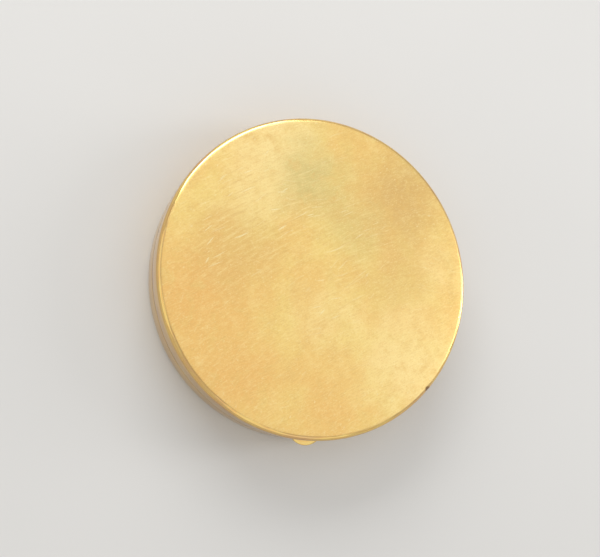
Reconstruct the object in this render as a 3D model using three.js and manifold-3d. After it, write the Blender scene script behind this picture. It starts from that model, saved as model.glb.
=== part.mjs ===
// A round keepsake locket: two shallow cups of gold-filled sheet, hinged at the back and held shut by a
// snap rim, with a thumb lip at the front and a glazed picture frame in each half.
// Millimetres. +Z is up through the closed case, the hinge is at +Y and the thumb lip at -Y.
// The origin is the centre of the flat underside.
import * as THREE from "three";
import { mergeVertices } from "three/addons/utils/BufferGeometryUtils.js";
import Module from "manifold-3d";

const wasm = await Module();
wasm.setup();

// Driving dimensions of the case
const CASE_RADIUS = 24;
const BACK_DEPTH = 4.5; // underside to seam
const FRONT_DEPTH = 4.5; // seam to the top of the face, at its middle
const SHEET = 0.6; // thickness of the stamped sheet
const SHOULDER = 0.9; // outer radius of the rounded corner between face and wall
const FACE_CROWN = 0.25; // how much the front face is domed
const SEAM_GAP = 0.06; // daylight between the two cups

// Fits
const SOLDER_GAP = 0.04; // between two pieces that are soldered or pressed together
const RUNNING_GAP = 0.06; // round a hinge tube, and between neighbouring tubes
const PIN_GAP = 0.05; // round the hinge pin
const STACK_GAP = 0.04; // between the layers of a picture frame

// Snap rim, soldered inside the back cup, and the catch bead on it
const RIM_SHEET = 0.4;
const RIM_RISE = 0.9; // how far the rim stands into the front cup
const RIM_DROP = 2.6; // how far it reaches down into the back cup
const RIM_LEAD = 0.12; // lead-in chamfer at its top
const BEAD_RADIUS = 0.3;
const BEAD_LENGTH = 2.4;
const BEAD_RISE = 0.5; // bead centre above the seam

// Hinge
const TUBE_RADIUS = 0.65;
const PIN_RADIUS = 0.3;
const TUBE_COUNT = 5; // odd, so that the outer tubes belong to the back cup
const HINGE_LENGTH = 7;
const TUBE_INSET = 0.45; // how far the tubes are let into the case wall
const PIN_PROUD = 0.18; // rounded end of the pin beyond the last tube
const SEAT_FACE_GAP = 0.05; // seat face inside the hinge axis, so that the case opens flat
const SEAT_TOP = 0.5; // seat edge from the seam
const SEAT_BOTTOM = 1.9; // seat foot from the seam
const SEAT_TAPER = 0.7; // height of the sloping foot

// Thumb lip, soldered to the front cup
const LIP_WIDTH = 4;
const LIP_REACH = 0.75;
const LIP_SHEET = 0.55;
const LIP_RISE = 0.2; // its underside above the seam

// Picture frames
const BEZEL_SHEET = 0.35;
const BEZEL_HEIGHT = 1.3;
const BEZEL_LIP = 1.4; // how far the bezel covers the window
const BEZEL_LIP_SHEET = 0.35;
const WINDOW_SHEET = 0.3;
const CARD_SHEET = 0.25;
const BEZEL_RECESS = 0.2; // bezel below the mouth of its cup or above the snap rim
const NOTCH_RADIUS = 0.8; // fingernail notch in the bezel's inner edge

// Facets
const ROUND_STEPS = 72;
const TUBE_STEPS = 24;
const CORNER_STEPS = 5;
const FACE_STEPS = 4;

// What follows from the driving dimensions
const SEAM = BACK_DEPTH;
const CASE_HEIGHT = BACK_DEPTH + FRONT_DEPTH;
const INNER_RADIUS = CASE_RADIUS - SHEET;
const RIM_OUTER = INNER_RADIUS - SOLDER_GAP;
const RIM_INNER = RIM_OUTER - RIM_SHEET;
const HINGE_Y = CASE_RADIUS + TUBE_RADIUS - TUBE_INSET;
const TUBE_LENGTH = (HINGE_LENGTH - (TUBE_COUNT - 1) * RUNNING_GAP) / TUBE_COUNT;
const BORE_RADIUS = PIN_RADIUS + PIN_GAP;

const COLOURS = {
  satinGold: { color: 0xeecb7c, roughness: 0.38, metalness: 1 },
  polishedGold: { color: 0xe9c078, roughness: 0.16, metalness: 1 },
  gilt: { color: 0xd9ae5f, roughness: 0.28, metalness: 1 },
  steel: { color: 0xb9b4a8, roughness: 0.3, metalness: 1 },
  window: { color: 0xf4f2e8, roughness: 0.05, metalness: 0, transparent: true, opacity: 0.3 },
  card: { color: 0xe6dcc2, roughness: 0.9, metalness: 0 },
  board: { color: 0xb49f7a, roughness: 0.95, metalness: 0 },
};

const MATERIALS = {};
for (const [name, look] of Object.entries(COLOURS)) {
  MATERIALS[name] = new THREE.MeshStandardMaterial(look);
}

// A closed three.js geometry as a manifold-3d solid.
function solid(geometry) {
  const bare = geometry.clone();
  bare.deleteAttribute("normal");
  bare.deleteAttribute("uv");
  const merged = mergeVertices(bare, 1e-4);
  const corners = merged.index.array;
  const kept = [];
  for (let i = 0; i < corners.length; i += 3) {
    const [a, b, c] = [corners[i], corners[i + 1], corners[i + 2]];
    if (a !== b && b !== c && c !== a) kept.push(a, b, c);
  }
  return new wasm.Manifold(
    new wasm.Mesh({
      numProp: 3,
      vertProperties: merged.attributes.position.array,
      triVerts: new Uint32Array(kept),
    }),
  );
}

// A manifold-3d solid as a three.js geometry.
function geometryOf(made) {
  const mesh = made.getMesh();
  const geometry = new THREE.BufferGeometry();
  geometry.setAttribute("position", new THREE.BufferAttribute(mesh.vertProperties, 3));
  geometry.setIndex(new THREE.BufferAttribute(mesh.triVerts, 1));
  geometry.computeVertexNormals();
  return geometry;
}

// A closed outline of [radius, z] points, anticlockwise, turned about the Z axis.
function turned(outline, steps = ROUND_STEPS) {
  const points = outline.map(([radius, z]) => new THREE.Vector2(radius, z));
  const onAxis = outline[0][0] === 0 && outline[outline.length - 1][0] === 0;
  if (!onAxis) points.push(points[0].clone());
  return new THREE.LatheGeometry(points, steps).rotateX(Math.PI / 2);
}

// Points on an arc about [cx, cz], angles in degrees from the +radius direction.
function arc(cx, cz, radius, from, to, steps = CORNER_STEPS) {
  const points = [];
  for (let i = 0; i <= steps; i++) {
    const angle = THREE.MathUtils.degToRad(from + ((to - from) * i) / steps);
    points.push([cx + radius * Math.cos(angle), cz + radius * Math.sin(angle)]);
  }
  return points;
}

// A plain round bar along X, centred on the hinge axis.
function hingeBar(radius, length) {
  const bar = new THREE.CylinderGeometry(radius, radius, length, TUBE_STEPS);
  return bar.rotateZ(Math.PI / 2).translate(0, HINGE_Y, SEAM);
}

// A block given by its lowest and highest corners.
function block(low, high) {
  const size = high.map((v, i) => v - low[i]);
  const middle = high.map((v, i) => (v + low[i]) / 2);
  return new THREE.BoxGeometry(...size).translate(...middle);
}

// The outline of a cup that stands on its face, with its mouth at height depth.
// crown is how far the middle of the face stands below its edge.
function cupOutline(depth, crown) {
  const edge = CASE_RADIUS - SHOULDER;
  const faceAt = (radius) => crown * (radius / edge) ** 2;
  const outside = [];
  const inside = [];
  const steps = crown > 0 ? FACE_STEPS : 1;
  for (let i = 0; i < steps; i++) {
    const radius = (edge * i) / steps;
    outside.push([radius, faceAt(radius)]);
    inside.unshift([radius, faceAt(radius) + SHEET]);
  }
  const corner = [edge, crown + SHOULDER];
  return [
    ...outside,
    ...arc(...corner, SHOULDER, -90, 0),
    [CASE_RADIUS, depth],
    [INNER_RADIUS, depth],
    ...arc(...corner, SHOULDER - SHEET, 0, -90),
    ...inside,
  ];
}

// Both cups are cleared for the hinge tubes, which are let into the wall.
function clearedForHinge(cup) {
  const groove = hingeBar(TUBE_RADIUS + RUNNING_GAP, HINGE_LENGTH + 2 * RUNNING_GAP);
  return solid(cup).subtract(solid(groove));
}

function backCover() {
  const cup = turned(cupOutline(BACK_DEPTH - SEAM_GAP / 2, 0));
  return geometryOf(clearedForHinge(cup));
}

// The catch bead is a half-round bar along X on the snap rim; grown makes the dimple it snaps into.
function beadBar(grown) {
  const radius = BEAD_RADIUS + grown;
  const bar = new THREE.CylinderGeometry(radius, radius, BEAD_LENGTH + 2 * grown, TUBE_STEPS);
  return bar.rotateZ(Math.PI / 2).translate(0, -RIM_OUTER, SEAM + BEAD_RISE);
}

function frontCover() {
  const cup = turned(cupOutline(FRONT_DEPTH - SEAM_GAP / 2, FACE_CROWN));
  cup.rotateX(Math.PI).translate(0, 0, CASE_HEIGHT);
  const cleared = clearedForHinge(cup);
  return geometryOf(cleared.subtract(solid(beadBar(RUNNING_GAP))));
}

function snapRim() {
  const top = SEAM + RIM_RISE;
  return turned([
    [RIM_INNER, SEAM - RIM_DROP],
    [RIM_OUTER, SEAM - RIM_DROP],
    [RIM_OUTER, top - RIM_LEAD],
    [RIM_OUTER - RIM_LEAD, top],
    [RIM_INNER, top],
  ]);
}

function catchBead() {
  const inside = turned([
    [0, SEAM - 1],
    [RIM_OUTER + SOLDER_GAP / 2, SEAM - 1],
    [RIM_OUTER + SOLDER_GAP / 2, SEAM + 2],
    [0, SEAM + 2],
  ]);
  return geometryOf(solid(beadBar(0)).subtract(solid(inside)));
}

function hingeTube(index) {
  const ring = [
    [BORE_RADIUS, -TUBE_LENGTH / 2],
    [TUBE_RADIUS, -TUBE_LENGTH / 2],
    [TUBE_RADIUS, TUBE_LENGTH / 2],
    [BORE_RADIUS, TUBE_LENGTH / 2],
  ];
  const x = (index - (TUBE_COUNT - 1) / 2) * (TUBE_LENGTH + RUNNING_GAP);
  return turned(ring, TUBE_STEPS).rotateY(Math.PI / 2).translate(x, HINGE_Y, SEAM);
}

function hingePin() {
  const half = HINGE_LENGTH / 2;
  const end = half + PIN_PROUD;
  const shoulderRadius = PIN_RADIUS * 0.6;
  const outline = [
    [0, -end],
    [shoulderRadius, -end],
    [PIN_RADIUS, -half],
    [PIN_RADIUS, half],
    [shoulderRadius, end],
    [0, end],
  ];
  return turned(outline, TUBE_STEPS).rotateY(Math.PI / 2).translate(0, HINGE_Y, SEAM);
}

// The seat fills the space between the round wall and the straight row of tubes.
// side is -1 for the back cup, below the seam, and 1 for the front cup, above it.
function hingeSeat(side) {
  const inner = CASE_RADIUS - SHEET;
  const face = HINGE_Y - SEAT_FACE_GAP;
  const edge = CASE_RADIUS + SOLDER_GAP;
  const profile = new THREE.Shape([
    new THREE.Vector2(inner, SEAT_TOP),
    new THREE.Vector2(face, SEAT_TOP),
    new THREE.Vector2(face, SEAT_BOTTOM - SEAT_TAPER),
    new THREE.Vector2(edge, SEAT_BOTTOM),
    new THREE.Vector2(inner, SEAT_BOTTOM),
  ]);
  const bar = new THREE.ExtrudeGeometry(profile, { depth: HINGE_LENGTH, bevelEnabled: false });
  bar.applyMatrix4(
    new THREE.Matrix4().set(0, 0, 1, -HINGE_LENGTH / 2, 1, 0, 0, 0, 0, 1, 0, 0, 0, 0, 0, 1),
  );
  const seated = side < 0 ? bar.rotateY(Math.PI) : bar;
  seated.translate(0, 0, SEAM);
  const body = turned([
    [0, 0],
    [edge, 0],
    [edge, CASE_HEIGHT],
    [0, CASE_HEIGHT],
  ]);
  const tubes = hingeBar(TUBE_RADIUS + SOLDER_GAP, HINGE_LENGTH + 1);
  return geometryOf(solid(seated).subtract(solid(body)).subtract(solid(tubes)));
}

// A crescent seen from above: a round wall line inside and a flatter arc outside.
function thumbLip() {
  const low = SEAM + LIP_RISE;
  const sagitta = LIP_REACH + CASE_RADIUS - Math.sqrt(CASE_RADIUS ** 2 - (LIP_WIDTH / 2) ** 2);
  const outerRadius = ((LIP_WIDTH / 2) ** 2 + sagitta ** 2) / (2 * sagitta);
  const disc = new THREE.CylinderGeometry(outerRadius, outerRadius, LIP_SHEET, ROUND_STEPS);
  disc.rotateX(Math.PI / 2);
  disc.translate(0, -(CASE_RADIUS + LIP_REACH - outerRadius), low + LIP_SHEET / 2);
  const wall = turned([
    [0, 0],
    [CASE_RADIUS + SOLDER_GAP, 0],
    [CASE_RADIUS + SOLDER_GAP, CASE_HEIGHT],
    [0, CASE_HEIGHT],
  ]);
  return geometryOf(solid(disc).subtract(solid(wall)));
}

// Each half holds, from its mouth inwards: bezel lip, window, picture card, backing board.
// A half is described as if its cup stood on its face; the front half is turned over.
function pictureHalf({ mouth, bezelRadius, boardRadius, floor }) {
  const lipTop = mouth - BEZEL_RECESS;
  const lipUnder = lipTop - BEZEL_LIP_SHEET;
  const windowTop = lipUnder - STACK_GAP;
  const cardTop = windowTop - WINDOW_SHEET - STACK_GAP;
  const boardTop = cardTop - CARD_SHEET - STACK_GAP;
  const skirt = bezelRadius - BEZEL_SHEET;
  const layerRadius = skirt - STACK_GAP;
  const opening = bezelRadius - BEZEL_SHEET - BEZEL_LIP;
  const disc = (radius, low, high) =>
    turned([
      [0, low],
      [radius, low],
      [radius, high],
      [0, high],
    ]);
  const ring = turned([
    [skirt, lipTop - BEZEL_HEIGHT],
    [bezelRadius, lipTop - BEZEL_HEIGHT],
    [bezelRadius, lipTop],
    [opening + BEZEL_LIP_SHEET, lipTop],
    [opening, lipTop - BEZEL_LIP_SHEET / 2],
    [opening, lipUnder],
    [skirt, lipUnder],
  ]);
  const notch = new THREE.CylinderGeometry(NOTCH_RADIUS, NOTCH_RADIUS, BEZEL_HEIGHT, TUBE_STEPS);
  notch.rotateX(Math.PI / 2).translate(0, -opening, lipTop);
  return {
    bezel: geometryOf(solid(ring).subtract(solid(notch))),
    window: disc(layerRadius, windowTop - WINDOW_SHEET, windowTop),
    picture: disc(layerRadius, cardTop - CARD_SHEET, cardTop),
    board: disc(Math.min(boardRadius, layerRadius), floor + STACK_GAP, boardTop),
  };
}

const backHalf = pictureHalf({
  mouth: SEAM,
  bezelRadius: RIM_INNER - SOLDER_GAP,
  boardRadius: RIM_INNER - SOLDER_GAP,
  floor: SHEET,
});

// The front half is measured down from the face, with its bezel clear of the snap rim.
const frontHalf = pictureHalf({
  mouth: FRONT_DEPTH - RIM_RISE,
  bezelRadius: INNER_RADIUS - SOLDER_GAP,
  boardRadius: CASE_RADIUS - SHOULDER,
  floor: SHEET + FACE_CROWN,
});
for (const layer of Object.values(frontHalf)) {
  layer.rotateX(Math.PI).rotateZ(Math.PI).translate(0, 0, CASE_HEIGHT);
}

const locket = new THREE.Group();

function add(name, geometry, material) {
  const mesh = new THREE.Mesh(geometry, MATERIALS[material]);
  mesh.name = name;
  locket.add(mesh);
}

add("back_cover", backCover(), "satinGold");
add("snap_rim", snapRim(), "polishedGold");
add("catch_bead", catchBead(), "polishedGold");
add("back_bezel", backHalf.bezel, "gilt");
add("back_window", backHalf.window, "window");
add("back_picture", backHalf.picture, "card");
add("back_board", backHalf.board, "board");

add("front_cover", frontCover(), "satinGold");
add("thumb_lip", thumbLip(), "polishedGold");
add("front_bezel", frontHalf.bezel, "gilt");
add("front_window", frontHalf.window, "window");
add("front_picture", frontHalf.picture, "card");
add("front_board", frontHalf.board, "board");

add("back_hinge_seat", hingeSeat(-1), "polishedGold");
add("front_hinge_seat", hingeSeat(1), "polishedGold");
for (let i = 0; i < TUBE_COUNT; i++) {
  const side = i % 2 === 0 ? "back" : "front";
  add(`${side}_hinge_tube_${Math.floor(i / 2) + 1}`, hingeTube(i), "polishedGold");
}
add("hinge_pin", hingePin(), "steel");

export default locket;
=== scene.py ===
# %% [markdown]
# # A round gold keepsake locket
#
# This lesson builds the look of a small hinged case: two shallow cups of gold-filled sheet, a hinge of five
# soldered tubes, a snap rim, a thumb lip, and a glazed picture frame in each half. The working model comes
# first, from the frame. It settles every size and every place, and the pieces here are finer copies of its
# parts that ride on its two bodies, so the case still opens on its hinge.

# %% Load the working model
import math

import bmesh
import bpy
from mathutils import Matrix, Vector


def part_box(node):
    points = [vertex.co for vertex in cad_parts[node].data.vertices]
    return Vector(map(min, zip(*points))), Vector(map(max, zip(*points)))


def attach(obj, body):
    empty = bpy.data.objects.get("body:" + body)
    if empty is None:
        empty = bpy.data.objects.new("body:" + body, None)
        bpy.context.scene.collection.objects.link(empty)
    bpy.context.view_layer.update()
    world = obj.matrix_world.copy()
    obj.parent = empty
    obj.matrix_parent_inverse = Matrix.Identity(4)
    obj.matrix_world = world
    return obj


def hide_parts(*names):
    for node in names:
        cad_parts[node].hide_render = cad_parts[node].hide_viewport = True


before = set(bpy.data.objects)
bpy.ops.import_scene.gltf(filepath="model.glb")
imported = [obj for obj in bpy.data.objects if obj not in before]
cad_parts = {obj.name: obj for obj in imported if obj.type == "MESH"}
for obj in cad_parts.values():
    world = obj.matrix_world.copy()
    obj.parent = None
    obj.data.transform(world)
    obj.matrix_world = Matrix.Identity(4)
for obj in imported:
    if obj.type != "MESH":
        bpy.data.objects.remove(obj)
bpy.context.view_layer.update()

# %% [markdown]
# ## Sizes
#
# Radii, heights and the hinge line are read from the boxes of the working parts. Only the sizes that a box
# can't tell are written here: how thick the sheet is, how round its shoulder is, and the small gaps.

# %% Sizes of the case, in metres
MM = 0.001
SHEET = 0.6 * MM
SHOULDER = 0.9 * MM
CROWN = 0.25 * MM
MOUTH_ROUND = 0.1 * MM
TUBE_GAP = 0.06 * MM
RIM_SHEET = 0.4 * MM
BEZEL_SHEET = 0.35 * MM
BEZEL_LIP = 1.4 * MM
NOTCH_RADIUS = 0.8 * MM
PIN_GAP = 0.05 * MM
SOLDER_SINK = 0.01 * MM  # how far a soldered part reaches into the wall that it sits on
MERGE_WITHIN = 1e-7


def radius_of(node):
    """Outer radius of a round working part."""
    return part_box(node)[1].x


def heights_of(node):
    """Lowest and highest z of a working part."""
    low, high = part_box(node)
    return low.z, high.z


CASE_RADIUS = radius_of("back_cover")
BACK_MOUTH = heights_of("back_cover")[1]
FRONT_MOUTH, FACE_TOP = heights_of("front_cover")
SEAM = (BACK_MOUTH + FRONT_MOUTH) / 2

pin_low, pin_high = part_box("hinge_pin")
HINGE_Y = (pin_low.y + pin_high.y) / 2
PIN_RADIUS = (pin_high.y - pin_low.y) / 2
tube_low, tube_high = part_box("back_hinge_tube_2")
TUBE_RADIUS = (tube_high.y - tube_low.y) / 2
BORE_RADIUS = PIN_RADIUS + PIN_GAP
HINGE_LENGTH = 2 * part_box("back_hinge_tube_3")[1].x
print(f"case {2 * CASE_RADIUS / MM:.1f} mm across, {FACE_TOP / MM:.2f} mm thick")
print(f"hinge {HINGE_LENGTH / MM:.1f} mm long")

# %% [markdown]
# ## Tools for the bench
#
# Nearly every part of such a case is turned or spun on a lathe, so the main tool is a lathe too: a single
# point is extruded along half of a section, and the section is spun round an axis. The corners of a real
# turned part are never sharp, so the outline is written as corners with a rounding each, and a helper puts
# the little arcs in.


# %% Outlines with rounded corners
def rounded(corners, closed=True, steps=5):
    """(distance from the axis, height, rounding) corners as points, with an arc at each rounded corner."""
    points = []
    count = len(corners)
    for i, (x, z, radius) in enumerate(corners):
        here = Vector((x, z))
        at_end = not closed and i in (0, count - 1)
        if radius == 0 or at_end:
            points.append(here)
            continue
        back = (Vector(corners[i - 1][:2]) - here).normalized()
        ahead = (Vector(corners[(i + 1) % count][:2]) - here).normalized()
        half = back.angle(ahead) / 2
        centre = here + (back + ahead).normalized() * radius / math.sin(half)
        start = here + back * radius / math.tan(half) - centre
        turn = start.angle_signed(here + ahead * radius / math.tan(half) - centre)
        for step in range(steps + 1):
            spoke = start.copy()
            spoke.rotate(Matrix.Rotation(-turn * step / steps, 2))
            points.append(centre + spoke)
    return points


# %% Selecting, and the lathe
def nothing_selected():
    if bpy.context.object and bpy.context.object.mode != "OBJECT":
        bpy.ops.object.mode_set(mode="OBJECT")
    bpy.ops.object.select_all(action="DESELECT")


def begin(name, add, **settings):
    """Adds a primitive with nothing else selected, and opens it in edit mode, selected all over."""
    nothing_selected()
    add(**settings)
    piece = bpy.context.object
    piece.name = name
    piece.data.name = name
    bpy.ops.object.mode_set(mode="EDIT")
    return piece


def done():
    """Merges doubles, turns the faces outwards, leaves edit mode and puts the piece's place in its mesh."""
    bpy.ops.mesh.select_all(action="SELECT")
    bpy.ops.mesh.remove_doubles(threshold=MERGE_WITHIN)
    bpy.ops.mesh.normals_make_consistent(inside=False)
    bpy.ops.object.mode_set(mode="OBJECT")
    bpy.ops.object.transform_apply(location=True, rotation=True, scale=True)


def turned(name, outline, steps, closed=True, along="Z", centre=(0, 0, 0)):
    """A section of (distance from the axis, place along it) points, spun about an axis through centre."""
    centre = Vector(centre)
    sideways, forward = {
        "Z": (Vector((1, 0, 0)), Vector((0, 0, 1))),
        "X": (Vector((0, 0, 1)), Vector((1, 0, 0))),
    }[along]
    places = [centre + sideways * point[0] + forward * point[1] for point in outline]
    if closed:
        places.append(places[0])
    piece = begin(name, bpy.ops.mesh.primitive_plane_add, size=MM, location=(0, 0, 0))
    bpy.ops.mesh.merge(type="CENTER")
    bpy.ops.transform.translate(value=places[0])
    for here, there in zip(places, places[1:]):
        bpy.ops.mesh.extrude_region_move(TRANSFORM_OT_translate={"value": there - here})
    bpy.ops.mesh.select_all(action="SELECT")
    bpy.ops.mesh.remove_doubles(threshold=MERGE_WITHIN)
    bpy.ops.mesh.spin(steps=steps, angle=2 * math.pi, center=centre, axis=forward)
    done()
    return piece


def select_where(piece, test, kind="faces"):
    """Selects the faces, edges or vertices whose middle passes the test, in edit mode."""
    mesh = bmesh.from_edit_mesh(piece.data)
    for group in (mesh.faces, mesh.edges, mesh.verts):
        for element in group:
            element.select = False
    chosen = 0
    for element in getattr(mesh, kind):
        corners = [element] if kind == "verts" else element.verts
        middle = sum((vertex.co for vertex in corners), Vector()) / len(corners)
        if test(middle, element):
            element.select_set(True)
            chosen += 1
    mesh.select_flush_mode()
    bmesh.update_edit_mesh(piece.data)
    return chosen


# %% Cutting one shape with another, and the last smoothing
def cut(piece, cutter):
    """Cuts the piece with the cutter, which is used up."""
    nothing_selected()
    bpy.context.view_layer.objects.active = piece
    piece.select_set(True)
    modifier = piece.modifiers.new("cut", "BOOLEAN")
    modifier.operation = "DIFFERENCE"
    modifier.solver = "EXACT"
    modifier.object = cutter
    bpy.ops.object.modifier_apply(modifier="cut")
    bpy.data.objects.remove(cutter)
    return piece


def round_edges(piece, width, segments=3, angle=40):
    """Takes the sharpness off every edge that is sharper than the angle."""
    nothing_selected()
    bpy.context.view_layer.objects.active = piece
    piece.select_set(True)
    modifier = piece.modifiers.new("round", "BEVEL")
    modifier.width = width
    modifier.segments = segments
    modifier.limit_method = "ANGLE"
    modifier.angle_limit = math.radians(angle)
    bpy.ops.object.modifier_apply(modifier="round")


SLOTS = {}


def fit_to_frame(piece, node, body, slot, smooth_angle=35):
    """The piece stands for a working part: same body, same material slot, smooth where it is round."""
    nothing_selected()
    bpy.context.view_layer.objects.active = piece
    piece.select_set(True)
    bpy.ops.object.shade_smooth_by_angle(angle=math.radians(smooth_angle))
    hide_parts(node)
    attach(piece, body)
    SLOTS[piece] = slot
    print(f"{piece.name}: {len(piece.data.polygons)} faces, for {node}")
    return piece


# %% [markdown]
# ## The two cups
#
# Each half of the case is drawn from one disc of gold-filled sheet into a shallow cup. Its face is left
# satin, and its wall and the shoulder between them are polished. The front face is very slightly domed, which
# keeps the sheet stiff and makes the light run across it. The back is flat, so that the case lies still. A
# lathe section with its shoulder as a true arc gives the clean bright line that a polished edge shows.


# %% The section of a cup
FACE_RINGS = 14
CUP_STEPS = 288


def cup_section(face, mouth, crown):
    """Half of a cup's section. face and mouth are heights, and crown is how far the face is domed."""
    up = 1 if face > mouth else -1
    edge = CASE_RADIUS - SHOULDER

    def dome(radius, inset):
        return face - up * (crown * (radius / edge) ** 2 + inset)

    rings = [edge * i / FACE_RINGS for i in range(FACE_RINGS)]
    inner = CASE_RADIUS - SHEET
    return rounded(
        [(radius, dome(radius, 0), 0) for radius in rings]
        + [
            (CASE_RADIUS, dome(CASE_RADIUS, 0), SHOULDER),
            (CASE_RADIUS, mouth, MOUTH_ROUND),
            (inner, mouth, MOUTH_ROUND),
            (inner, dome(inner, SHEET), SHOULDER - SHEET),
        ]
        + [(radius, dome(radius, SHEET), 0) for radius in reversed(rings)],
        closed=False,
        steps=8,
    )


def bar_along_hinge(name, radius, half_length):
    """A plain round bar on the hinge line, to cut with."""
    ends = [(0, -half_length, 0), (radius, -half_length, 0), (radius, half_length, 0), (0, half_length, 0)]
    section = rounded(ends, closed=False)
    return turned(name, section, 48, closed=False, along="X", centre=(0, HINGE_Y, SEAM))


def hinge_groove():
    """The bar that clears both cups for the row of hinge tubes."""
    return bar_along_hinge("groove", TUBE_RADIUS + TUBE_GAP, HINGE_LENGTH / 2 + TUBE_GAP)


# %% Spin the cups and let the hinge into them
front_shell = turned("front_shell", cup_section(FACE_TOP, FRONT_MOUTH, CROWN), CUP_STEPS, closed=False)
back_shell = turned("back_shell", cup_section(0, BACK_MOUTH, 0), CUP_STEPS, closed=False)
cut(front_shell, hinge_groove())
cut(back_shell, hinge_groove())

DENT = Vector((17.9 * MM, -15.6 * MM, 8.47 * MM))
DENT_RADIUS = 0.3 * MM
DENT_REACH = 0.55 * MM
DENT_DEPTH = 0.14 * MM
DENT_DOWNWARDS = 18 * MM
INWARDS = Vector((-DENT.x, -DENT.y, -DENT_DOWNWARDS)).normalized()
nothing_selected()
bpy.context.view_layer.objects.active = front_shell
front_shell.select_set(True)
bpy.ops.object.mode_set(mode="EDIT")
struck = select_where(front_shell, lambda at, _: (at - DENT).length < DENT_RADIUS, "verts")
bpy.ops.transform.translate(
    value=INWARDS * DENT_DEPTH,
    use_proportional_edit=True,
    use_proportional_connected=True,
    proportional_size=DENT_REACH,
)
bpy.ops.object.mode_set(mode="OBJECT")
print("dent:", struck, "vertices pushed in")
fit_to_frame(front_shell, "front_cover", "front", "satin_gold")
fit_to_frame(back_shell, "back_cover", "back", "satin_gold")

# %% [markdown]
# ## The thumb lip
#
# A crescent of thick sheet soldered to the front cup just above the seam. It starts as a flat disc whose
# middle lies inside the case; cutting away the case leaves the crescent. Its rim is well rounded by use.

# %% Lip
lip_low, lip_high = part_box("thumb_lip")
lip_reach = -lip_low.y - CASE_RADIUS
lip_half = lip_high.x
lip_sagitta = lip_reach + CASE_RADIUS - math.sqrt(CASE_RADIUS**2 - lip_half**2)
lip_radius = (lip_half**2 + lip_sagitta**2) / (2 * lip_sagitta)
lip_section = rounded(
    [
        (0, lip_low.z, 0),
        (lip_radius, lip_low.z, 0.2 * MM),
        (lip_radius, lip_high.z, 0.24 * MM),
        (0, lip_high.z, 0),
    ],
    closed=False,
)
lip = turned("lip", lip_section, 160, closed=False, centre=(0, lip_low.y + lip_radius, 0))
case_body = begin(
    "case_body",
    bpy.ops.mesh.primitive_cylinder_add,
    vertices=CUP_STEPS,
    radius=CASE_RADIUS - SOLDER_SINK,
    depth=FACE_TOP,
    location=(0, 0, FACE_TOP / 2),
)
done()
cut(lip, case_body)
fit_to_frame(lip, "thumb_lip", "front", "polished_gold")

# %% [markdown]
# ## The hinge
#
# A straight hinge can't be soldered to a round wall directly, so each cup first gets a seat: a small bar that
# fills the space behind the tubes. The five tubes are cut from one length of tubing and belong to the two
# halves in turn, and a steel wire with rounded ends runs through them all.


# %% Seats: a block with a sloping foot, hollowed for the wall and for the tubes
SEAT_THICKNESS = 1.5 * MM
SEAT_ROUND = 0.12 * MM
FOOT_TO_WALL = 0.03 * MM
BED_GAP = 0.02 * MM


def hinge_seat(name, node):
    low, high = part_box(node)
    top_side = low.z > SEAM
    near, foot = (low.z, high.z) if top_side else (high.z, low.z)
    slope = (foot - near) / 2
    inside = CASE_RADIUS - SEAT_THICKNESS
    middle = Vector((0, (inside + high.y) / 2, (low.z + high.z) / 2))
    seat = begin(name, bpy.ops.mesh.primitive_cube_add, size=1, location=(0, 0, 0))
    bpy.ops.transform.resize(value=(high.x - low.x, high.y - inside, high.z - low.z))
    bpy.ops.transform.translate(value=middle)
    bpy.ops.mesh.bisect(plane_co=(0, 0, foot - slope), plane_no=(0, 0, 1))
    select_where(seat, lambda at, _: at.y > middle.y and abs(at.z - foot) < 0.05 * MM, "edges")
    bpy.ops.transform.translate(value=(0, CASE_RADIUS + FOOT_TO_WALL - high.y, 0))
    done()
    round_edges(seat, SEAT_ROUND)
    inner_wall = begin(
        "inner_wall",
        bpy.ops.mesh.primitive_cylinder_add,
        vertices=CUP_STEPS,
        radius=CASE_RADIUS - SOLDER_SINK,
        depth=2 * FACE_TOP,
        location=(0, 0, SEAM),
    )
    done()
    cut(seat, inner_wall)
    return cut(seat, bar_along_hinge("bed", TUBE_RADIUS + BED_GAP, HINGE_LENGTH))


fit_to_frame(hinge_seat("back_seat", "back_hinge_seat"), "back_hinge_seat", "back", "polished_gold")
fit_to_frame(hinge_seat("front_seat", "front_hinge_seat"), "front_hinge_seat", "front", "polished_gold")


# %% Tubes and pin
BORE_ROUND = 0.03 * MM
TUBE_ROUND = 0.09 * MM
PIN_ROUND = 0.17 * MM


def hinge_tube(node):
    low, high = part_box(node)
    section = rounded(
        [
            (BORE_RADIUS, low.x, BORE_ROUND),
            (TUBE_RADIUS, low.x, TUBE_ROUND),
            (TUBE_RADIUS, high.x, TUBE_ROUND),
            (BORE_RADIUS, high.x, BORE_ROUND),
        ]
    )
    return turned(node.replace("hinge_", ""), section, 64, along="X", centre=(0, HINGE_Y, SEAM))


for node in ("back_hinge_tube_1", "back_hinge_tube_2", "back_hinge_tube_3"):
    fit_to_frame(hinge_tube(node), node, "back", "polished_gold")
for node in ("front_hinge_tube_1", "front_hinge_tube_2"):
    fit_to_frame(hinge_tube(node), node, "front", "polished_gold")

pin_section = rounded(
    [
        (0, pin_low.x, 0),
        (PIN_RADIUS, pin_low.x, PIN_ROUND),
        (PIN_RADIUS, pin_high.x, PIN_ROUND),
        (0, pin_high.x, 0),
    ],
    closed=False,
)
pin = turned("pin_wire", pin_section, 48, closed=False, along="X", centre=(0, HINGE_Y, SEAM))
fit_to_frame(pin, "hinge_pin", "back", "steel_pin")

# %% [markdown]
# ## Snap rim and catch bead
#
# The rim is a band soldered inside the back cup. It stands above the seam, and the front cup closes over it.
# A tiny half-round bead on it, behind the thumb lip, clicks into a dimple in the front cup's wall.

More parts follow.
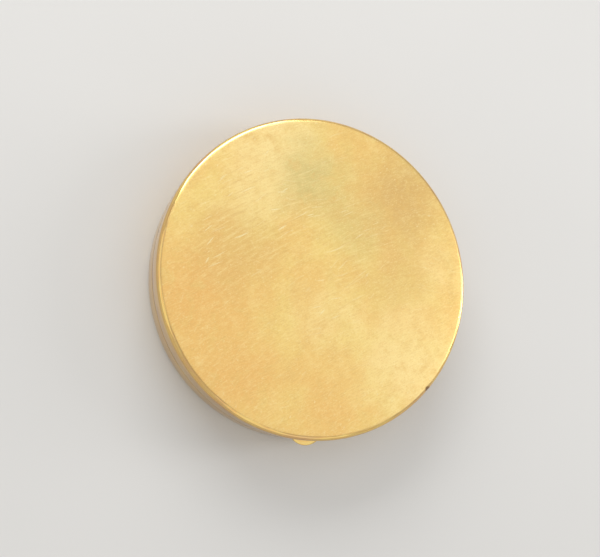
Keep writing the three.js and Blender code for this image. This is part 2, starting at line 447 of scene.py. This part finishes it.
# %% Rim and bead
rim_low, rim_high = heights_of("snap_rim")
rim_outer = radius_of("snap_rim")
rim_section = rounded(
    [
        (rim_outer - RIM_SHEET, rim_low, 0.05 * MM),
        (rim_outer, rim_low, 0.05 * MM),
        (rim_outer, rim_high, 0.16 * MM),
        (rim_outer - RIM_SHEET, rim_high, 0.16 * MM),
    ]
)
fit_to_frame(turned("rim_band", rim_section, CUP_STEPS), "snap_rim", "back", "polished_gold")

bead_low, bead_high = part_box("catch_bead")
bead_radius = (bead_high.z - bead_low.z) / 2
bead_round = 0.8 * bead_radius
bead_section = rounded(
    [
        (0, bead_low.x, 0),
        (bead_radius, bead_low.x, bead_round),
        (bead_radius, bead_high.x, bead_round),
        (0, bead_high.x, 0),
    ],
    closed=False,
)
bead_centre = (0, -rim_outer, (bead_low.z + bead_high.z) / 2)
bead = turned("bead", bead_section, 48, closed=False, along="X", centre=bead_centre)
fit_to_frame(bead, "catch_bead", "back", "polished_gold")

dimple_half = (bead_high.x - bead_low.x) * 0.62
dimple_radius = bead_radius * 1.25
press = begin("press", bpy.ops.mesh.primitive_uv_sphere_add, segments=32, ring_count=16, radius=1)
bpy.ops.transform.resize(value=(dimple_half, dimple_radius, dimple_radius))
bpy.ops.transform.translate(value=bead_centre)
done()
cut(front_shell, press)

# %% [markdown]
# ## Picture frames
#
# Each half holds a picture under a clear window. A bezel of gilt brass, L-shaped in section, presses them
# home; a fingernail notch lets it be lifted out. The card is left blank but for a fine printed keyline.


# %% Bezel, window, card and board of one half
def disc(name, node, rounding, steps=192):
    low, high = heights_of(node)
    radius = radius_of(node)
    corners = [(0, low, 0), (radius, low, rounding), (radius, high, rounding), (0, high, 0)]
    return turned(name, rounded(corners, closed=False, steps=3), steps, closed=False)


def bezel(name, node, mouth_up):
    low, high = heights_of(node)
    face, foot = (high, low) if mouth_up else (low, high)
    inward = -1 if mouth_up else 1
    outer = radius_of(node)
    skirt = outer - BEZEL_SHEET
    opening = skirt - BEZEL_LIP
    under = face + inward * BEZEL_SHEET
    painted_dark_line = turned(
        name,
        rounded(
            [
                (skirt, foot, 0.05 * MM),
                (outer, foot, 0.05 * MM),
                (outer, face, 0.14 * MM),
                (outer - 0.55 * MM, face, 0.05 * MM),
                (outer - 0.66 * MM, face + inward * 0.09 * MM, 0.03 * MM),
                (outer - 0.77 * MM, face, 0.05 * MM),
                (opening + 0.3 * MM, face, 0.18 * MM),
                (opening, under, 0.05 * MM),
                (skirt, under, 0),
            ],
            steps=4,
        ),
        CUP_STEPS,
    )
    notch = begin(
        "notch",
        bpy.ops.mesh.primitive_cylinder_add,
        vertices=48,
        radius=NOTCH_RADIUS,
        depth=4 * BEZEL_SHEET,
        location=(0, -opening, face),
    )
    done()
    return cut(painted_dark_line, notch)


for side, mouth_up in (("back", True), ("front", False)):
    fit_to_frame(bezel(f"{side}_frame_ring", f"{side}_bezel", mouth_up), f"{side}_bezel", side, "gilt_brass")
    fit_to_frame(disc(f"{side}_glass", f"{side}_window", 0.06 * MM), f"{side}_window", side, "clear_window")
    fit_to_frame(disc(f"{side}_card", f"{side}_picture", 0.02 * MM), f"{side}_picture", side, "picture_card")
    fit_to_frame(disc(f"{side}_pad", f"{side}_board", 0.08 * MM), f"{side}_board", side, "backing_board")

# %% [markdown]
# ## Writing materials as sums
#
# A material is a net of nodes, and most of its nodes are plain arithmetic. The small class below wraps a
# socket, so that arithmetic can be written as arithmetic: `1 - mask * 0.5` adds its Math nodes by itself.


# %% A socket that can be added and multiplied
class Wire:
    """One value or vector that flows through a material."""

    def __init__(self, recipe, socket):
        self.recipe = recipe
        self.socket = socket

    def also(self, output):
        """Another output of the node that this wire comes from."""
        return Wire(self.recipe, self.socket.node.outputs[output])

    def __add__(self, other):
        return self.recipe.math("ADD", self, other)

    def __radd__(self, other):
        return self.recipe.math("ADD", other, self)

    def __sub__(self, other):
        return self.recipe.math("SUBTRACT", self, other)

    def __rsub__(self, other):
        return self.recipe.math("SUBTRACT", other, self)

    def __mul__(self, other):
        return self.recipe.math("MULTIPLY", self, other)

    def __rmul__(self, other):
        return self.recipe.math("MULTIPLY", other, self)


class Recipe:
    """A new material, its Principled shader, and the piece's own place in millimetres."""

    def __init__(self, name, **settings):
        self.material = bpy.data.materials.new(name)
        self.material.use_nodes = True
        self.tree = self.material.node_tree
        self.shader = self.tree.nodes["Principled BSDF"]
        for socket, value in settings.items():
            self.shader.inputs[socket.replace("_", " ")].default_value = value
        place = self.node("ShaderNodeTexCoord").also("Object")
        self.place = self.node("ShaderNodeVectorMath", {"operation": "SCALE"}, {0: place, "Scale": 1 / MM})
        self.x, self.y, self.z = self.parts(self.place)

    def node(self, kind, settings=None, values=None):
        """Adds a node: its settings first, then a value or a link on each socket. Gives its first output."""
        made = self.tree.nodes.new(kind)
        for name, value in (settings or {}).items():
            setattr(made, name, value)
        for name, value in (values or {}).items():
            if isinstance(value, Wire):
                self.tree.links.new(value.socket, made.inputs[name])
            else:
                made.inputs[name].default_value = value
        return Wire(self, made.outputs[0])

    def feed(self, **wires):
        """Links wires to the shader's sockets."""
        for name, wire in wires.items():
            self.tree.links.new(wire.socket, self.shader.inputs[name.replace("_", " ")])

    def math(self, operation, first, second=0.0):
        return self.node("ShaderNodeMath", {"operation": operation}, {0: first, 1: second})

    def parts(self, vector):
        split = self.node("ShaderNodeSeparateXYZ", values={0: vector})
        return split, split.also(1), split.also(2)

    def vector(self, x, y, z=0.0):
        return self.node("ShaderNodeCombineXYZ", values={0: x, 1: y, 2: z})

    def moved(self, vector, by):
        return self.node("ShaderNodeVectorMath", {"operation": "ADD"}, {0: vector, 1: by})

    def length(self, x, y):
        return self.math("SQRT", x * x + y * y)

    def around(self):
        """Millimetres along the rim from the thumb lip. The two ends meet at the hinge."""
        return self.math("ARCTAN2", self.x, 0 - self.y) * (CASE_RADIUS / MM)

    def noise(self, vector, scale, detail=2.0, roughness=0.5):
        values = {"Vector": vector, "Scale": scale, "Detail": detail, "Roughness": roughness}
        return self.node("ShaderNodeTexNoise", values=values)

    def rise(self, value, start, end, low=0.0, high=1.0):
        """A smooth step from low to high while the value goes from start to end."""
        values = {"Value": value, "From Min": start, "From Max": end, "To Min": low, "To Max": high}
        return self.node("ShaderNodeMapRange", {"interpolation_type": "SMOOTHSTEP"}, values)

    def mix(self, share, first, second):
        """A colour between two colours."""
        return self.node("ShaderNodeMix", {"data_type": "RGBA"}, {0: share, 6: first, 7: second}).also(2)

    def bump(self, height, strength, distance, under=None):
        values = {"Height": height, "Strength": strength, "Distance": distance}
        if under:
            values["Normal"] = under
        return self.node("ShaderNodeBump", values=values)


def rgb(red, green, blue):
    return (red, green, blue, 1.0)


# %% [markdown]
# ## Scratches
#
# A scratch is a long thin mark that fades at both ends, and each blow leaves a family that runs one way. A
# Voronoi texture makes them: space is stretched along the scratch, so that the small disc round each cell's
# point becomes a sliver, and each cell's random colour decides whether it has one.


# %% One family of scratches
def scratches(recipe, angle, length, width, seed, share, bow=0.006, spread=0.09):
    """Slivers along the angle in degrees, sized in millimetres. share is how many of the cells have one."""
    cosine, sine = math.cos(math.radians(angle)), math.sin(math.radians(angle))
    sway = recipe.noise(recipe.moved(recipe.place, (seed, seed, seed)), 0.07, 1.0, 0.5)
    along = recipe.x * cosine + recipe.y * sine
    across = recipe.y * cosine - recipe.x * sine + along * along * bow + sway * 8.0
    stretched = recipe.vector(along * (2 * spread / length) + seed, across * (2 * spread / width) + seed)
    cell = recipe.node(
        "ShaderNodeTexVoronoi", {"voronoi_dimensions": "2D"}, {"Vector": stretched, "Scale": 1.0}
    )
    chance = recipe.parts(cell.also("Color"))[0]
    sliver = recipe.rise(cell, spread, spread * 0.25)
    return sliver * recipe.rise(chance, 1 - share - 0.12, 1 - share + 0.12)


def patch(recipe, place, size, x, y):
    """1 at a place on the face, falling to 0 at a distance of size millimetres."""
    return recipe.rise(recipe.length(place[0] - x, place[1] - y), size, size * 0.15)


# %% [markdown]
# ## Old satin gold
#
# Gold-filled sheet that has been carried for years has toned in soft patches: peach where skin has warmed it,
# and olive and pale in places. On the front face the olive patches are a painted dark reflection and the pale
# patches towards the top a painted highlight. The satin is a fine grain laid one way.
# The shoulder and the wall are polished, because hands polish what they touch. The gold skin is thinnest
# there, so copper shows through, and the wall is painted browner, a painted shade. Dirt stays along the seam
# and in the corners of the hinge, the dent is drawn darker, and a faint dark line where the satin meets the
# polish is a painted dark reflection.

# %% Colours of the gold
GOLD_YELLOW = rgb(0.88, 0.65, 0.225)
GOLD_PEACH = rgb(0.85, 0.50, 0.165)
GOLD_DUSKY = rgb(0.70, 0.45, 0.165)
GOLD_PALE = rgb(0.95, 0.75, 0.34)
GOLD_OLIVE = rgb(0.66, 0.545, 0.22)
GOLD_BRIGHT = rgb(1.0, 0.87, 0.50)
GOLD_COPPER = rgb(0.70, 0.40, 0.22)
# a brown for the painted shade on the wall
WALL_SHADE_BROWN = rgb(0.46, 0.27, 0.105)
# a dark for dirt, and for the painted dark line where the satin meets the polish
TARNISH_AND_SHADE = rgb(0.17, 0.09, 0.045)


# %% Toned patches, with a painted highlight and a painted reflection
def toned(recipe, place, mottle, tone_and_light_patches):
    """The gold before any wear. The list holds (colour, share, size, x, y) patches, in millimetres: tone, and
    on the front face also a painted highlight and a painted dark reflection.
    """
    colour = recipe.mix(recipe.rise(place[2], 0.35, 0.65) * 0.5, GOLD_YELLOW, GOLD_PEACH)
    for tone, share, size, x, y in tone_and_light_patches:
        cover = patch(recipe, place, size, x, y) * recipe.rise(mottle, 0.3, 0.55, 0.55, 1.0)
        colour = recipe.mix(cover * share, colour, tone)
    return colour


def speckled(recipe, colour, noise, lighter, darker):
    """Tints the peaks and the dips of a noise: each tint is (from, to, share, colour)."""
    for start, end, share, tint in (lighter, darker):
        colour = recipe.mix(recipe.rise(noise, start, end) * share, colour, tint)
    return colour


# %% [markdown]
# ## Handling marks
#
# The satin's grain is drawn first, as noise that is stretched one way. Wear then comes in three sizes: broad
# smears along the grain, families of fine scratches, and a few short nicks. Smears and scratches are strong
# where a list of patches says that the case has been rubbed most, and nicks are strong towards the edge.

# %% Grain, smears, scratches and nicks
GRAIN_ANGLE = 0.5  # radians
# angle in degrees, length and width in millimetres, share of cells, depth
SCRATCH_FAMILIES = [
    (31, 7.5, 0.26, 0.50, 0.45),
    (25, 5.0, 0.34, 0.50, 0.35),
    (36, 3.2, 0.22, 0.45, 0.7),
    (28, 2.0, 0.24, 0.45, 0.8),
    (19, 3.0, 0.20, 0.40, 0.5),
    (44, 1.4, 0.26, 0.30, 0.9),
    (54, 3.4, 0.18, 0.30, 0.5),
]


def rubbed_places(recipe, place, worn_at):
    """How worn each place is. worn_at lists (size, x, y) patches, in millimetres."""
    worn = 0.3
    for size, x, y in worn_at:
        worn = worn + patch(recipe, place, size, x, y) * 1.1
    return worn


def smears(recipe, along, across, seed):
    bent = across + along * along * 0.008
    return recipe.noise(recipe.vector(along * 0.22 + seed, bent * 2.2, seed), 1.0, 3.0, 0.65)


def scratched(recipe, worn, radius, seed):
    """All the scratches and nicks, from 0 to 1."""
    marks = 0.0
    for angle, length, width, share, depth in SCRATCH_FAMILIES:
        marks = marks + scratches(recipe, angle, length, width, seed + angle / 7, share) * depth
    nicks = scratches(recipe, 40, 0.45, 0.28, seed + 5.5, 0.08, spread=0.16)
    return recipe.math("MINIMUM", marks * worn + nicks * recipe.rise(radius, 12.0, 22.0, 0.3, 0.8), 1.0)


# %% [markdown]
# ## Polished edge and old dirt
#
# The polish begins a little inside the wall and creeps in and out, as a hand-finished border does. Its
# colours run round the case, so they are drawn on the distance along the rim, and the wall is painted browner
# as a painted shade. Dirt is drawn by distance from the seam and from the hinge line, and the dent is drawn
# darker by distance from it.

# %% Polish and dirt
SATIN_SHORT_OF_WALL = 0.58  # millimetres


def polished(recipe, rubbed, thin, from_seam):
    """Shoulder and wall: yellow and peach, copper where the skin is thin, and a painted shade of brown down
    the wall.
    """
    colour = recipe.mix(recipe.rise(rubbed, 0.35, 0.7), GOLD_YELLOW, GOLD_PEACH)
    colour = recipe.mix(recipe.rise(thin, 0.45, 0.7) * 0.6, colour, GOLD_COPPER)
    # the wall, away from both faces, is painted browner: a painted shade
    on_wall = recipe.rise(from_seam, SEAM / MM - 0.35, SEAM / MM - 0.95)
    return recipe.mix(on_wall * recipe.rise(thin, 0.25, 0.6, 0.15, 0.4), colour, WALL_SHADE_BROWN)


def old_dirt(recipe, around, from_seam, mottle, seed):
    """Dirt along the seam and by the hinge, and a darker patch in the dent, from 0 to 1."""
    patchy = recipe.rise(recipe.noise(recipe.vector(around, recipe.z, seed), 0.3, 2.0, 0.5), 0.3, 0.7)
    off_hinge = recipe.length(recipe.y - HINGE_Y / MM, recipe.z - SEAM / MM)
    hinge_half = HINGE_LENGTH / MM / 2
    off_middle = recipe.math("ABSOLUTE", recipe.x)
    by_hinge = recipe.rise(off_hinge, 2.4, 0.9) * recipe.rise(off_middle, hinge_half + 1.4, hinge_half)
    to_dent = {0: recipe.place, 1: DENT / MM}
    in_dent = recipe.node("ShaderNodeVectorMath", {"operation": "DISTANCE"}, to_dent).also("Value")
    dirt = recipe.rise(from_seam, 0.22, 0.05) * patchy + by_hinge * recipe.rise(mottle, 0.35, 0.65, 0.2, 0.7)
    # the dent is drawn darker as well
    return recipe.math("MINIMUM", dirt + recipe.rise(in_dent, 0.62, 0.3), 1.0)


# %% [markdown]
# ## The finish of a cup
#
# The layers go on one over another: toned gold with its painted highlight and painted reflection, grain, wear
# with the painted glint of its scratches, the polished border with its painted shade on the wall and its
# painted dark line, and dirt last. The same masks set how rough each place is, so that a scratch shines and
# dirt is dull.


# %% All the layers of a cup
def cup_finish(name, seed, tone_and_light_patches, worn_at):
    recipe = Recipe(name, Metallic=1.0)
    here = recipe.moved(recipe.place, (seed, seed * 0.7, 0.0))
    wander = recipe.parts(recipe.noise(here, 0.16, 3.0, 0.55).also("Color"))
    place = (recipe.x + (wander[0] - 0.5) * 10.0, recipe.y + (wander[1] - 0.5) * 10.0, wander[2])
    mottle = recipe.noise(here, 0.5, 4.0, 0.6)
    blotch = recipe.noise(recipe.moved(here, (31.0, 7.0, 3.0)), 1.5, 4.0, 0.65)
    speckle = recipe.noise(here, 4.5, 2.0, 0.6)

    colour = toned(recipe, place, mottle, tone_and_light_patches)
    colour = speckled(recipe, colour, mottle, (0.5, 0.7, 0.2, GOLD_PALE), (0.5, 0.3, 0.16, GOLD_DUSKY))
    colour = speckled(recipe, colour, blotch, (0.52, 0.72, 0.2, GOLD_PEACH), (0.48, 0.3, 0.15, GOLD_PALE))

    along = recipe.x * math.cos(GRAIN_ANGLE) + recipe.y * math.sin(GRAIN_ANGLE)
    across = recipe.y * math.cos(GRAIN_ANGLE) - recipe.x * math.sin(GRAIN_ANGLE)
    grain = recipe.noise(recipe.vector(along * 0.9 + seed, across * 7.0), 1.0, 2.0, 0.6)
    colour = speckled(recipe, colour, grain, (0.5, 0.75, 0.4, GOLD_PALE), (0.5, 0.25, 0.38, GOLD_DUSKY))
    colour = speckled(
        recipe, colour, speckle, (0.52, 0.75, 0.28, GOLD_BRIGHT), (0.48, 0.25, 0.35, GOLD_DUSKY)
    )

    radius = recipe.length(recipe.x, recipe.y)
    worn = rubbed_places(recipe, place, worn_at)
    depth = recipe.math("MINIMUM", worn, 1.0)
    smeared = smears(recipe, along, across, seed)
    colour = speckled(
        recipe, colour, smeared, (0.52, 0.7, depth * 0.45, GOLD_PALE), (0.48, 0.3, depth * 0.28, GOLD_DUSKY)
    )
    marks = scratched(recipe, worn, radius, seed)
    # scratches and nicks are real wear; painting them brighter than the gold is a painted glint
    colour = recipe.mix(marks * 0.65, colour, GOLD_BRIGHT)

    border = CASE_RADIUS / MM - SATIN_SHORT_OF_WALL
    creep = (mottle - 0.5) * 0.5
    satin = recipe.rise(radius + creep, border + 0.12, border - 0.1)
    around = recipe.around()
    rubbed = recipe.noise(recipe.vector(around * 0.35, recipe.z * 9.0, seed), 1.0, 3.0, 0.6)
    thin = recipe.noise(recipe.vector(around * 0.12, recipe.z * 0.5, seed + 5.0), 1.0, 3.0, 0.6)
    from_seam = recipe.math("ABSOLUTE", recipe.z - SEAM / MM)
    colour = recipe.mix(satin, polished(recipe, rubbed, thin, from_seam), colour)
    # a painted dark line where the satin meets the polish: a painted dark reflection in the shoulder
    painted_dark_line = recipe.rise(recipe.math("ABSOLUTE", radius + creep * 0.3 - border), 0.14, 0.03)
    painted_dark_line = painted_dark_line * recipe.rise(thin, 0.35, 0.6) * recipe.rise(from_seam, 3.0, 3.6)
    colour = recipe.mix(painted_dark_line * 0.35, colour, TARNISH_AND_SHADE)
    dirt = old_dirt(recipe, around, from_seam, mottle, seed)
    colour = recipe.mix(dirt * 0.8, colour, TARNISH_AND_SHADE)

    satin_rough = 0.36 + (mottle - 0.5) * 0.14 + (speckle - 0.5) * 0.12 - marks * 0.12
    polish_rough = 0.08 + recipe.rise(rubbed, 0.45, 0.8) * 0.1
    relief = grain * 0.5 + speckle * 0.5 - marks * 0.7
    rub_relief = recipe.rise(rubbed, 0.4, 0.8) * 0.12
    hollows = recipe.bump(recipe.noise(here, 0.13, 2.0, 0.45), 0.6, 0.06 * MM)
    recipe.feed(
        Base_Color=colour,
        Roughness=satin * satin_rough + (1 - satin) * polish_rough + dirt * 0.35 + painted_dark_line * 0.2,
        Normal=recipe.bump(relief * satin + rub_relief * (1 - satin), 0.35, 0.012 * MM, hollows),
    )
    return recipe.material


# %% The front cup, and the back with a patina of its own
front_gold = cup_finish(
    "satin_gold_front",
    0.0,
    tone_and_light_patches=[
        (GOLD_PEACH, 0.9, 13.0, -19.0, -4.0),
        (GOLD_PEACH, 0.8, 12.0, -12.0, -15.0),
        (GOLD_PEACH, 0.5, 9.0, 2.0, -21.0),
        (GOLD_DUSKY, 0.9, 10.5, 12.0, 13.0),
        (GOLD_DUSKY, 0.45, 10.0, -13.0, 3.0),
        (GOLD_DUSKY, 0.5, 10.0, 12.0, 1.0),
        # the first two pale patches, towards the top, are a painted highlight
        (GOLD_PALE, 0.9, 12.0, -8.0, 19.0),
        (GOLD_PALE, 0.6, 8.0, -11.0, 10.0),
        (GOLD_PALE, 0.75, 12.0, 14.0, -12.0),
        (GOLD_PALE, 0.4, 7.0, 20.0, 3.0),
        (GOLD_PALE, 0.45, 8.0, 1.0, -6.0),
        # the olive patches are a painted dark reflection
        (GOLD_OLIVE, 0.85, 8.5, -2.5, 14.0),
        (GOLD_OLIVE, 0.45, 7.0, 4.0, 8.0),
    ],
    worn_at=[(13.0, -9.0, 9.0), (8.0, 3.0, 6.0), (6.0, -15.0, 1.0), (6.0, 2.0, -3.0)],
)
back_gold = cup_finish(
    "satin_gold_back",
    40.0,
    tone_and_light_patches=[
        (GOLD_PEACH, 0.8, 14.0, 9.0, 12.0),
        (GOLD_DUSKY, 0.7, 11.0, -12.0, -9.0),
        (GOLD_PALE, 0.7, 12.0, 5.0, -14.0),
        (GOLD_OLIVE, 0.7, 9.0, -7.0, 9.0),
    ],
    worn_at=[(16.0, 4.0, -2.0), (8.0, -10.0, 6.0)],
)
front_shell.data.materials.append(front_gold)
back_shell.data.materials.append(back_gold)
print("front finish:", len(front_gold.node_tree.nodes), "nodes, back:", len(back_gold.node_tree.nodes))

# %% [markdown]
# ## The small parts
#
# The trim is polished gold with finer rub marks, the bezels are gilt brass turned on a lathe, and the pin is
# drawn steel. The windows are thin clear sheet with faint wipe marks. The cards are rag paper that has
# yellowed from the edge inwards, with a printed keyline and no picture yet.


# %% Polished gold, gilt brass and steel
def worn_metal(name, main, second, roughness, stretch, dirt_share=0.35):
    """Polished metal with rub marks along its length, and patches of dirt."""
    recipe = Recipe(name, Metallic=1.0)
    stretched = recipe.vector(recipe.x * stretch[0], recipe.y * stretch[1], recipe.z * stretch[2])
    rub = recipe.noise(stretched, 1.0, 3.0, 0.6)
    blot = recipe.noise(recipe.place, 1.3, 4.0, 0.65)
    colour = recipe.mix(recipe.rise(rub, 0.35, 0.7), main, second)
    colour = recipe.mix(recipe.rise(blot, 0.58, 0.75) * dirt_share, colour, TARNISH_AND_SHADE)
    recipe.feed(
        Base_Color=colour,
        Roughness=roughness + recipe.rise(rub, 0.4, 0.8) * 0.12 + recipe.rise(blot, 0.55, 0.8) * 0.2,
        Normal=recipe.bump(rub, 0.12, 0.01 * MM),
    )
    return recipe.material


def lathe_brass(name):
    """Gilt brass with the fine rings of the lathe."""
    recipe = Recipe(name, Metallic=1.0)
    radius = recipe.length(recipe.x, recipe.y)
    rings = recipe.noise(recipe.vector(radius * 14.0, recipe.z * 14.0, 3.0), 1.0, 3.0, 0.7)
    blot = recipe.noise(recipe.place, 0.5, 4.0, 0.6)
    colour = recipe.mix(rings, rgb(0.78, 0.50, 0.17), rgb(0.90, 0.66, 0.30))
    colour = recipe.mix(recipe.rise(blot, 0.5, 0.72) * 0.4, colour, rgb(0.55, 0.30, 0.12))
    recipe.feed(
        Base_Color=colour,
        Roughness=0.2 + rings * 0.12 + recipe.rise(blot, 0.5, 0.8) * 0.15,
        Normal=recipe.bump(rings, 0.3, 0.01 * MM),
    )
    return recipe.material


# %% Clear windows
def window_finish(name):
    """A thin clear sheet: it shows what lies under it, and its gloss is stronger at a low angle."""
    recipe = Recipe(name, Roughness=0.04)
    recipe.shader.inputs["Base Color"].default_value = rgb(0.9, 0.9, 0.86)
    grazing = recipe.node("ShaderNodeLayerWeight", values={"Blend": 0.5}).also("Facing")
    gloss = 0.04 + recipe.math("POWER", grazing, 5.0) * 0.9
    wipes = scratches(recipe, 64, 4.0, 0.12, 5.0, 0.3) + scratches(recipe, -20, 5.0, 0.12, 11.0, 0.3)
    haze = recipe.rise(recipe.noise(recipe.place, 0.2, 2.0, 0.5), 0.35, 0.75) * 0.03
    clear = recipe.node("ShaderNodeBsdfTransparent", values={"Color": rgb(0.97, 0.97, 0.94)})
    glossy = Wire(recipe, recipe.shader.outputs[0])
    sheet = recipe.node("ShaderNodeMixShader", values={0: gloss + haze + wipes * 0.15, 1: clear, 2: glossy})
    recipe.tree.links.new(sheet.socket, recipe.tree.nodes["Material Output"].inputs["Surface"])
    return recipe.material


# %% Card and board
def paper_finish(name, pale, dark, keyline=None):
    """Old paper: fibres, foxing, and a darker edge."""
    recipe = Recipe(name)
    outer = radius_of("back_picture") / MM
    radius = recipe.length(recipe.x, recipe.y)
    fibre = recipe.noise(recipe.place, 5.0, 4.0, 0.7)
    stain = recipe.noise(recipe.place, 0.28, 4.0, 0.6)
    foxing = recipe.rise(recipe.noise(recipe.place, 1.1, 3.0, 0.6), 0.66, 0.76)
    colour = recipe.mix(recipe.rise(stain, 0.35, 0.75) * 0.6, pale, dark)
    colour = recipe.mix(recipe.rise(radius, outer - 8.0, outer) * 0.55, colour, dark)
    colour = recipe.mix(fibre * 0.22, colour, dark)
    colour = recipe.mix(foxing * 0.45, colour, rgb(0.42, 0.24, 0.10))
    for line, half_width in [(keyline, 0.10), (keyline - 0.55, 0.05)] if keyline else []:
        ink = recipe.rise(recipe.math("ABSOLUTE", radius - line), half_width + 0.04, half_width)
        colour = recipe.mix(ink * 0.7, colour, rgb(0.35, 0.20, 0.09))
    recipe.feed(Base_Color=colour, Roughness=0.75 + fibre * 0.2, Normal=recipe.bump(fibre, 0.3, 0.03 * MM))
    return recipe.material


# %% Put the finishes on
KEYLINE_INSET = 1.2  # millimetres
card_opening = (radius_of("back_bezel") - BEZEL_SHEET - BEZEL_LIP) / MM
card_line = card_opening - KEYLINE_INSET
STEEL_LIGHT, STEEL_DARK = rgb(0.52, 0.50, 0.47), rgb(0.40, 0.37, 0.33)
CARD_PALE, CARD_DARK = rgb(0.80, 0.71, 0.52), rgb(0.58, 0.44, 0.25)
BOARD_PALE, BOARD_DARK = rgb(0.42, 0.33, 0.22), rgb(0.28, 0.20, 0.12)
FINISHES = {
    "polished_gold": worn_metal("polished_gold", GOLD_YELLOW, GOLD_PEACH, 0.14, (1.0, 6.0, 6.0)),
    "gilt_brass": lathe_brass("gilt_brass"),
    "steel_pin": worn_metal("drawn_steel", STEEL_LIGHT, STEEL_DARK, 0.25, (0.8, 14.0, 14.0)),
    "clear_window": window_finish("clear_window"),
    "picture_card": paper_finish("picture_card", CARD_PALE, CARD_DARK, card_line),
    "backing_board": paper_finish("backing_board", BOARD_PALE, BOARD_DARK),
}
for piece, slot in SLOTS.items():
    if not piece.data.materials:
        piece.data.materials.append(FINISHES[slot])
print(len(SLOTS), "pieces finished")

# %% [markdown]
# ## Floor, light and camera
#
# Polished metal is mostly a picture of the room, so the room is kept plain: a pale floor, a pale even sky and
# one broad lamp overhead for the satin face. A wide lamp behind on the left and a tall one on the right draw
# the white line along the shoulder. Two weak ones, on the left and in front, keep the wall from going dull.

# %% Floor
floor = begin("floor", bpy.ops.mesh.primitive_plane_add, size=4.0, location=(0, 0, -0.02 * MM))
done()
floor_recipe = Recipe("floor_paint", Roughness=0.8)
floor_recipe.shader.inputs["Specular IOR Level"].default_value = 0.2
cast = floor_recipe.noise(floor_recipe.place, 0.02, 3.0, 0.5)
floor_recipe.feed(Base_Color=floor_recipe.mix(cast, rgb(0.58, 0.57, 0.555), rgb(0.61, 0.60, 0.585)))
floor.data.materials.append(floor_recipe.material)


# %% Lamps
def lamp(name, direction, distance, width, height, radiance):
    """A soft box that faces the case from a direction."""
    direction = Vector(direction).normalized()
    nothing_selected()
    bpy.ops.object.light_add(type="AREA", location=direction * distance)
    made = bpy.context.object
    made.name = name
    made.data.shape = "RECTANGLE"
    made.data.size = width
    made.data.size_y = height
    made.data.energy = 4 * width * height * radiance
    made.rotation_mode = "QUATERNION"
    made.rotation_quaternion = direction.to_track_quat("Z", "Y")
    made.visible_camera = False


lamp("overhead", (0.24, 0.09, 0.93), 0.5, 0.60, 0.62, 0.23)
lamp("behind_left", (-0.27, 0.82, 0.44), 0.45, 0.40, 0.22, 4.6)
lamp("on_the_right", (0.90, 0.10, 0.31), 0.45, 0.11, 0.28, 5.6)
lamp("on_the_left", (-0.85, 0.0, 0.50), 0.5, 0.40, 0.40, 0.25)
lamp("in_front", (0.10, -0.80, 0.55), 0.5, 0.50, 0.40, 0.25)

world = bpy.data.worlds.new("pale_room")
world.use_nodes = True
world.node_tree.nodes["Background"].inputs["Color"].default_value = rgb(0.68, 0.68, 0.67)
bpy.context.scene.world = world

# %% Camera
TILT = math.radians(20.7)
SIDE = math.radians(-60.4)
ROLL = math.radians(3.06)
DISTANCE = 116.07 * MM
LENS = 48.0
SENSOR = 36.0
aim = Vector((-3.24 * MM, -0.96 * MM, FACE_TOP - CROWN))
backwards = Vector((math.sin(SIDE) * math.sin(TILT), -math.cos(SIDE) * math.sin(TILT), math.cos(TILT)))
rightwards = Vector((-math.sin(ROLL), math.cos(ROLL), 0)).cross(backwards).normalized()
upwards = backwards.cross(rightwards)
nothing_selected()
bpy.ops.object.camera_add(location=aim + backwards * DISTANCE)
camera = bpy.context.object
camera.name = "camera"
camera.rotation_mode = "QUATERNION"
camera.rotation_quaternion = Matrix((rightwards, upwards, backwards)).transposed().to_quaternion()
camera.data.lens = LENS
camera.data.sensor_width = SENSOR
camera.data.clip_start = MM
bpy.context.scene.camera = camera
bpy.context.scene.view_settings.view_transform = "Standard"
